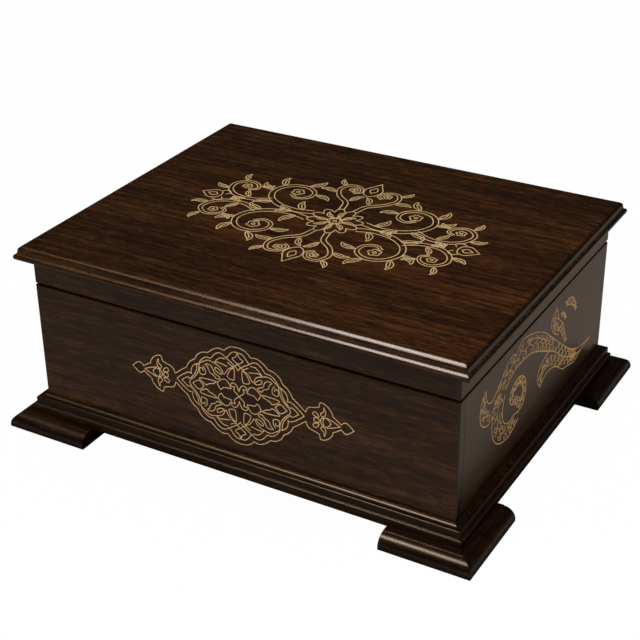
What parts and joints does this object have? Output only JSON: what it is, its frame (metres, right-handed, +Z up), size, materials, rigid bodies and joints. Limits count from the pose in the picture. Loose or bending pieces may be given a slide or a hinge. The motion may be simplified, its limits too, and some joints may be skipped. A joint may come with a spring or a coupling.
{
  "type": "hinged book box",
  "caption": "Dark walnut book box with a hinged overhanging lid, stepped plinth, bracket feet, gold line ornament and a velvet-lined well for a holy book.",
  "frame": {"origin": "on the table under the middle of the box, at the bottom of the feet", "axes": "+X along the box's width to the viewer's right, -Y towards the front with the medallion, +Z up"},
  "size_m": [0.3378, 0.2728, 0.132],
  "materials": {
    "walnut": "satin lacquer",
    "brass": "satin",
    "screw_steel": "bronzed",
    "velvet": "velvet pile"
  },
  "bodies": {
    "case": {"front_wall": "walnut", "back_wall": "walnut", "left_wall": "walnut", "right_wall": "walnut", "plinth_board": "walnut", "foot_front_left_face": "walnut", "foot_front_left_return": "walnut", "foot_front_right_face": "walnut", "foot_front_right_return": "walnut", "foot_back_left_face": "walnut", "foot_back_left_return": "walnut", "foot_back_right_face": "walnut", "foot_back_right_return": "walnut", "hinge_left_case_leaf": "brass", "hinge_left_pin": "brass", "hinge_right_case_leaf": "brass", "hinge_right_pin": "brass", "hinge_case_screws": "brass", "wall_screws": "screw_steel", "foot_screws": "screw_steel", "floor_pad": "velvet", "lining_front": "velvet", "lining_back": "velvet", "lining_left": "velvet", "lining_right": "velvet"},
    "lid": {"lid_board": "walnut", "lid_rim_front": "walnut", "lid_rim_back": "walnut", "lid_rim_left": "walnut", "lid_rim_right": "walnut", "hinge_left_lid_leaf": "brass", "hinge_right_lid_leaf": "brass", "hinge_lid_screws": "brass", "lid_pad": "velvet"}
  },
  "joints": [
    {"name": "lid_hinge", "type": "hinge", "parent": "case", "child": "lid", "pos_m": [0, 0.1163, 0.10395], "axis": [-1, 0, 0], "range_deg": [0, 105]}
  ]
}
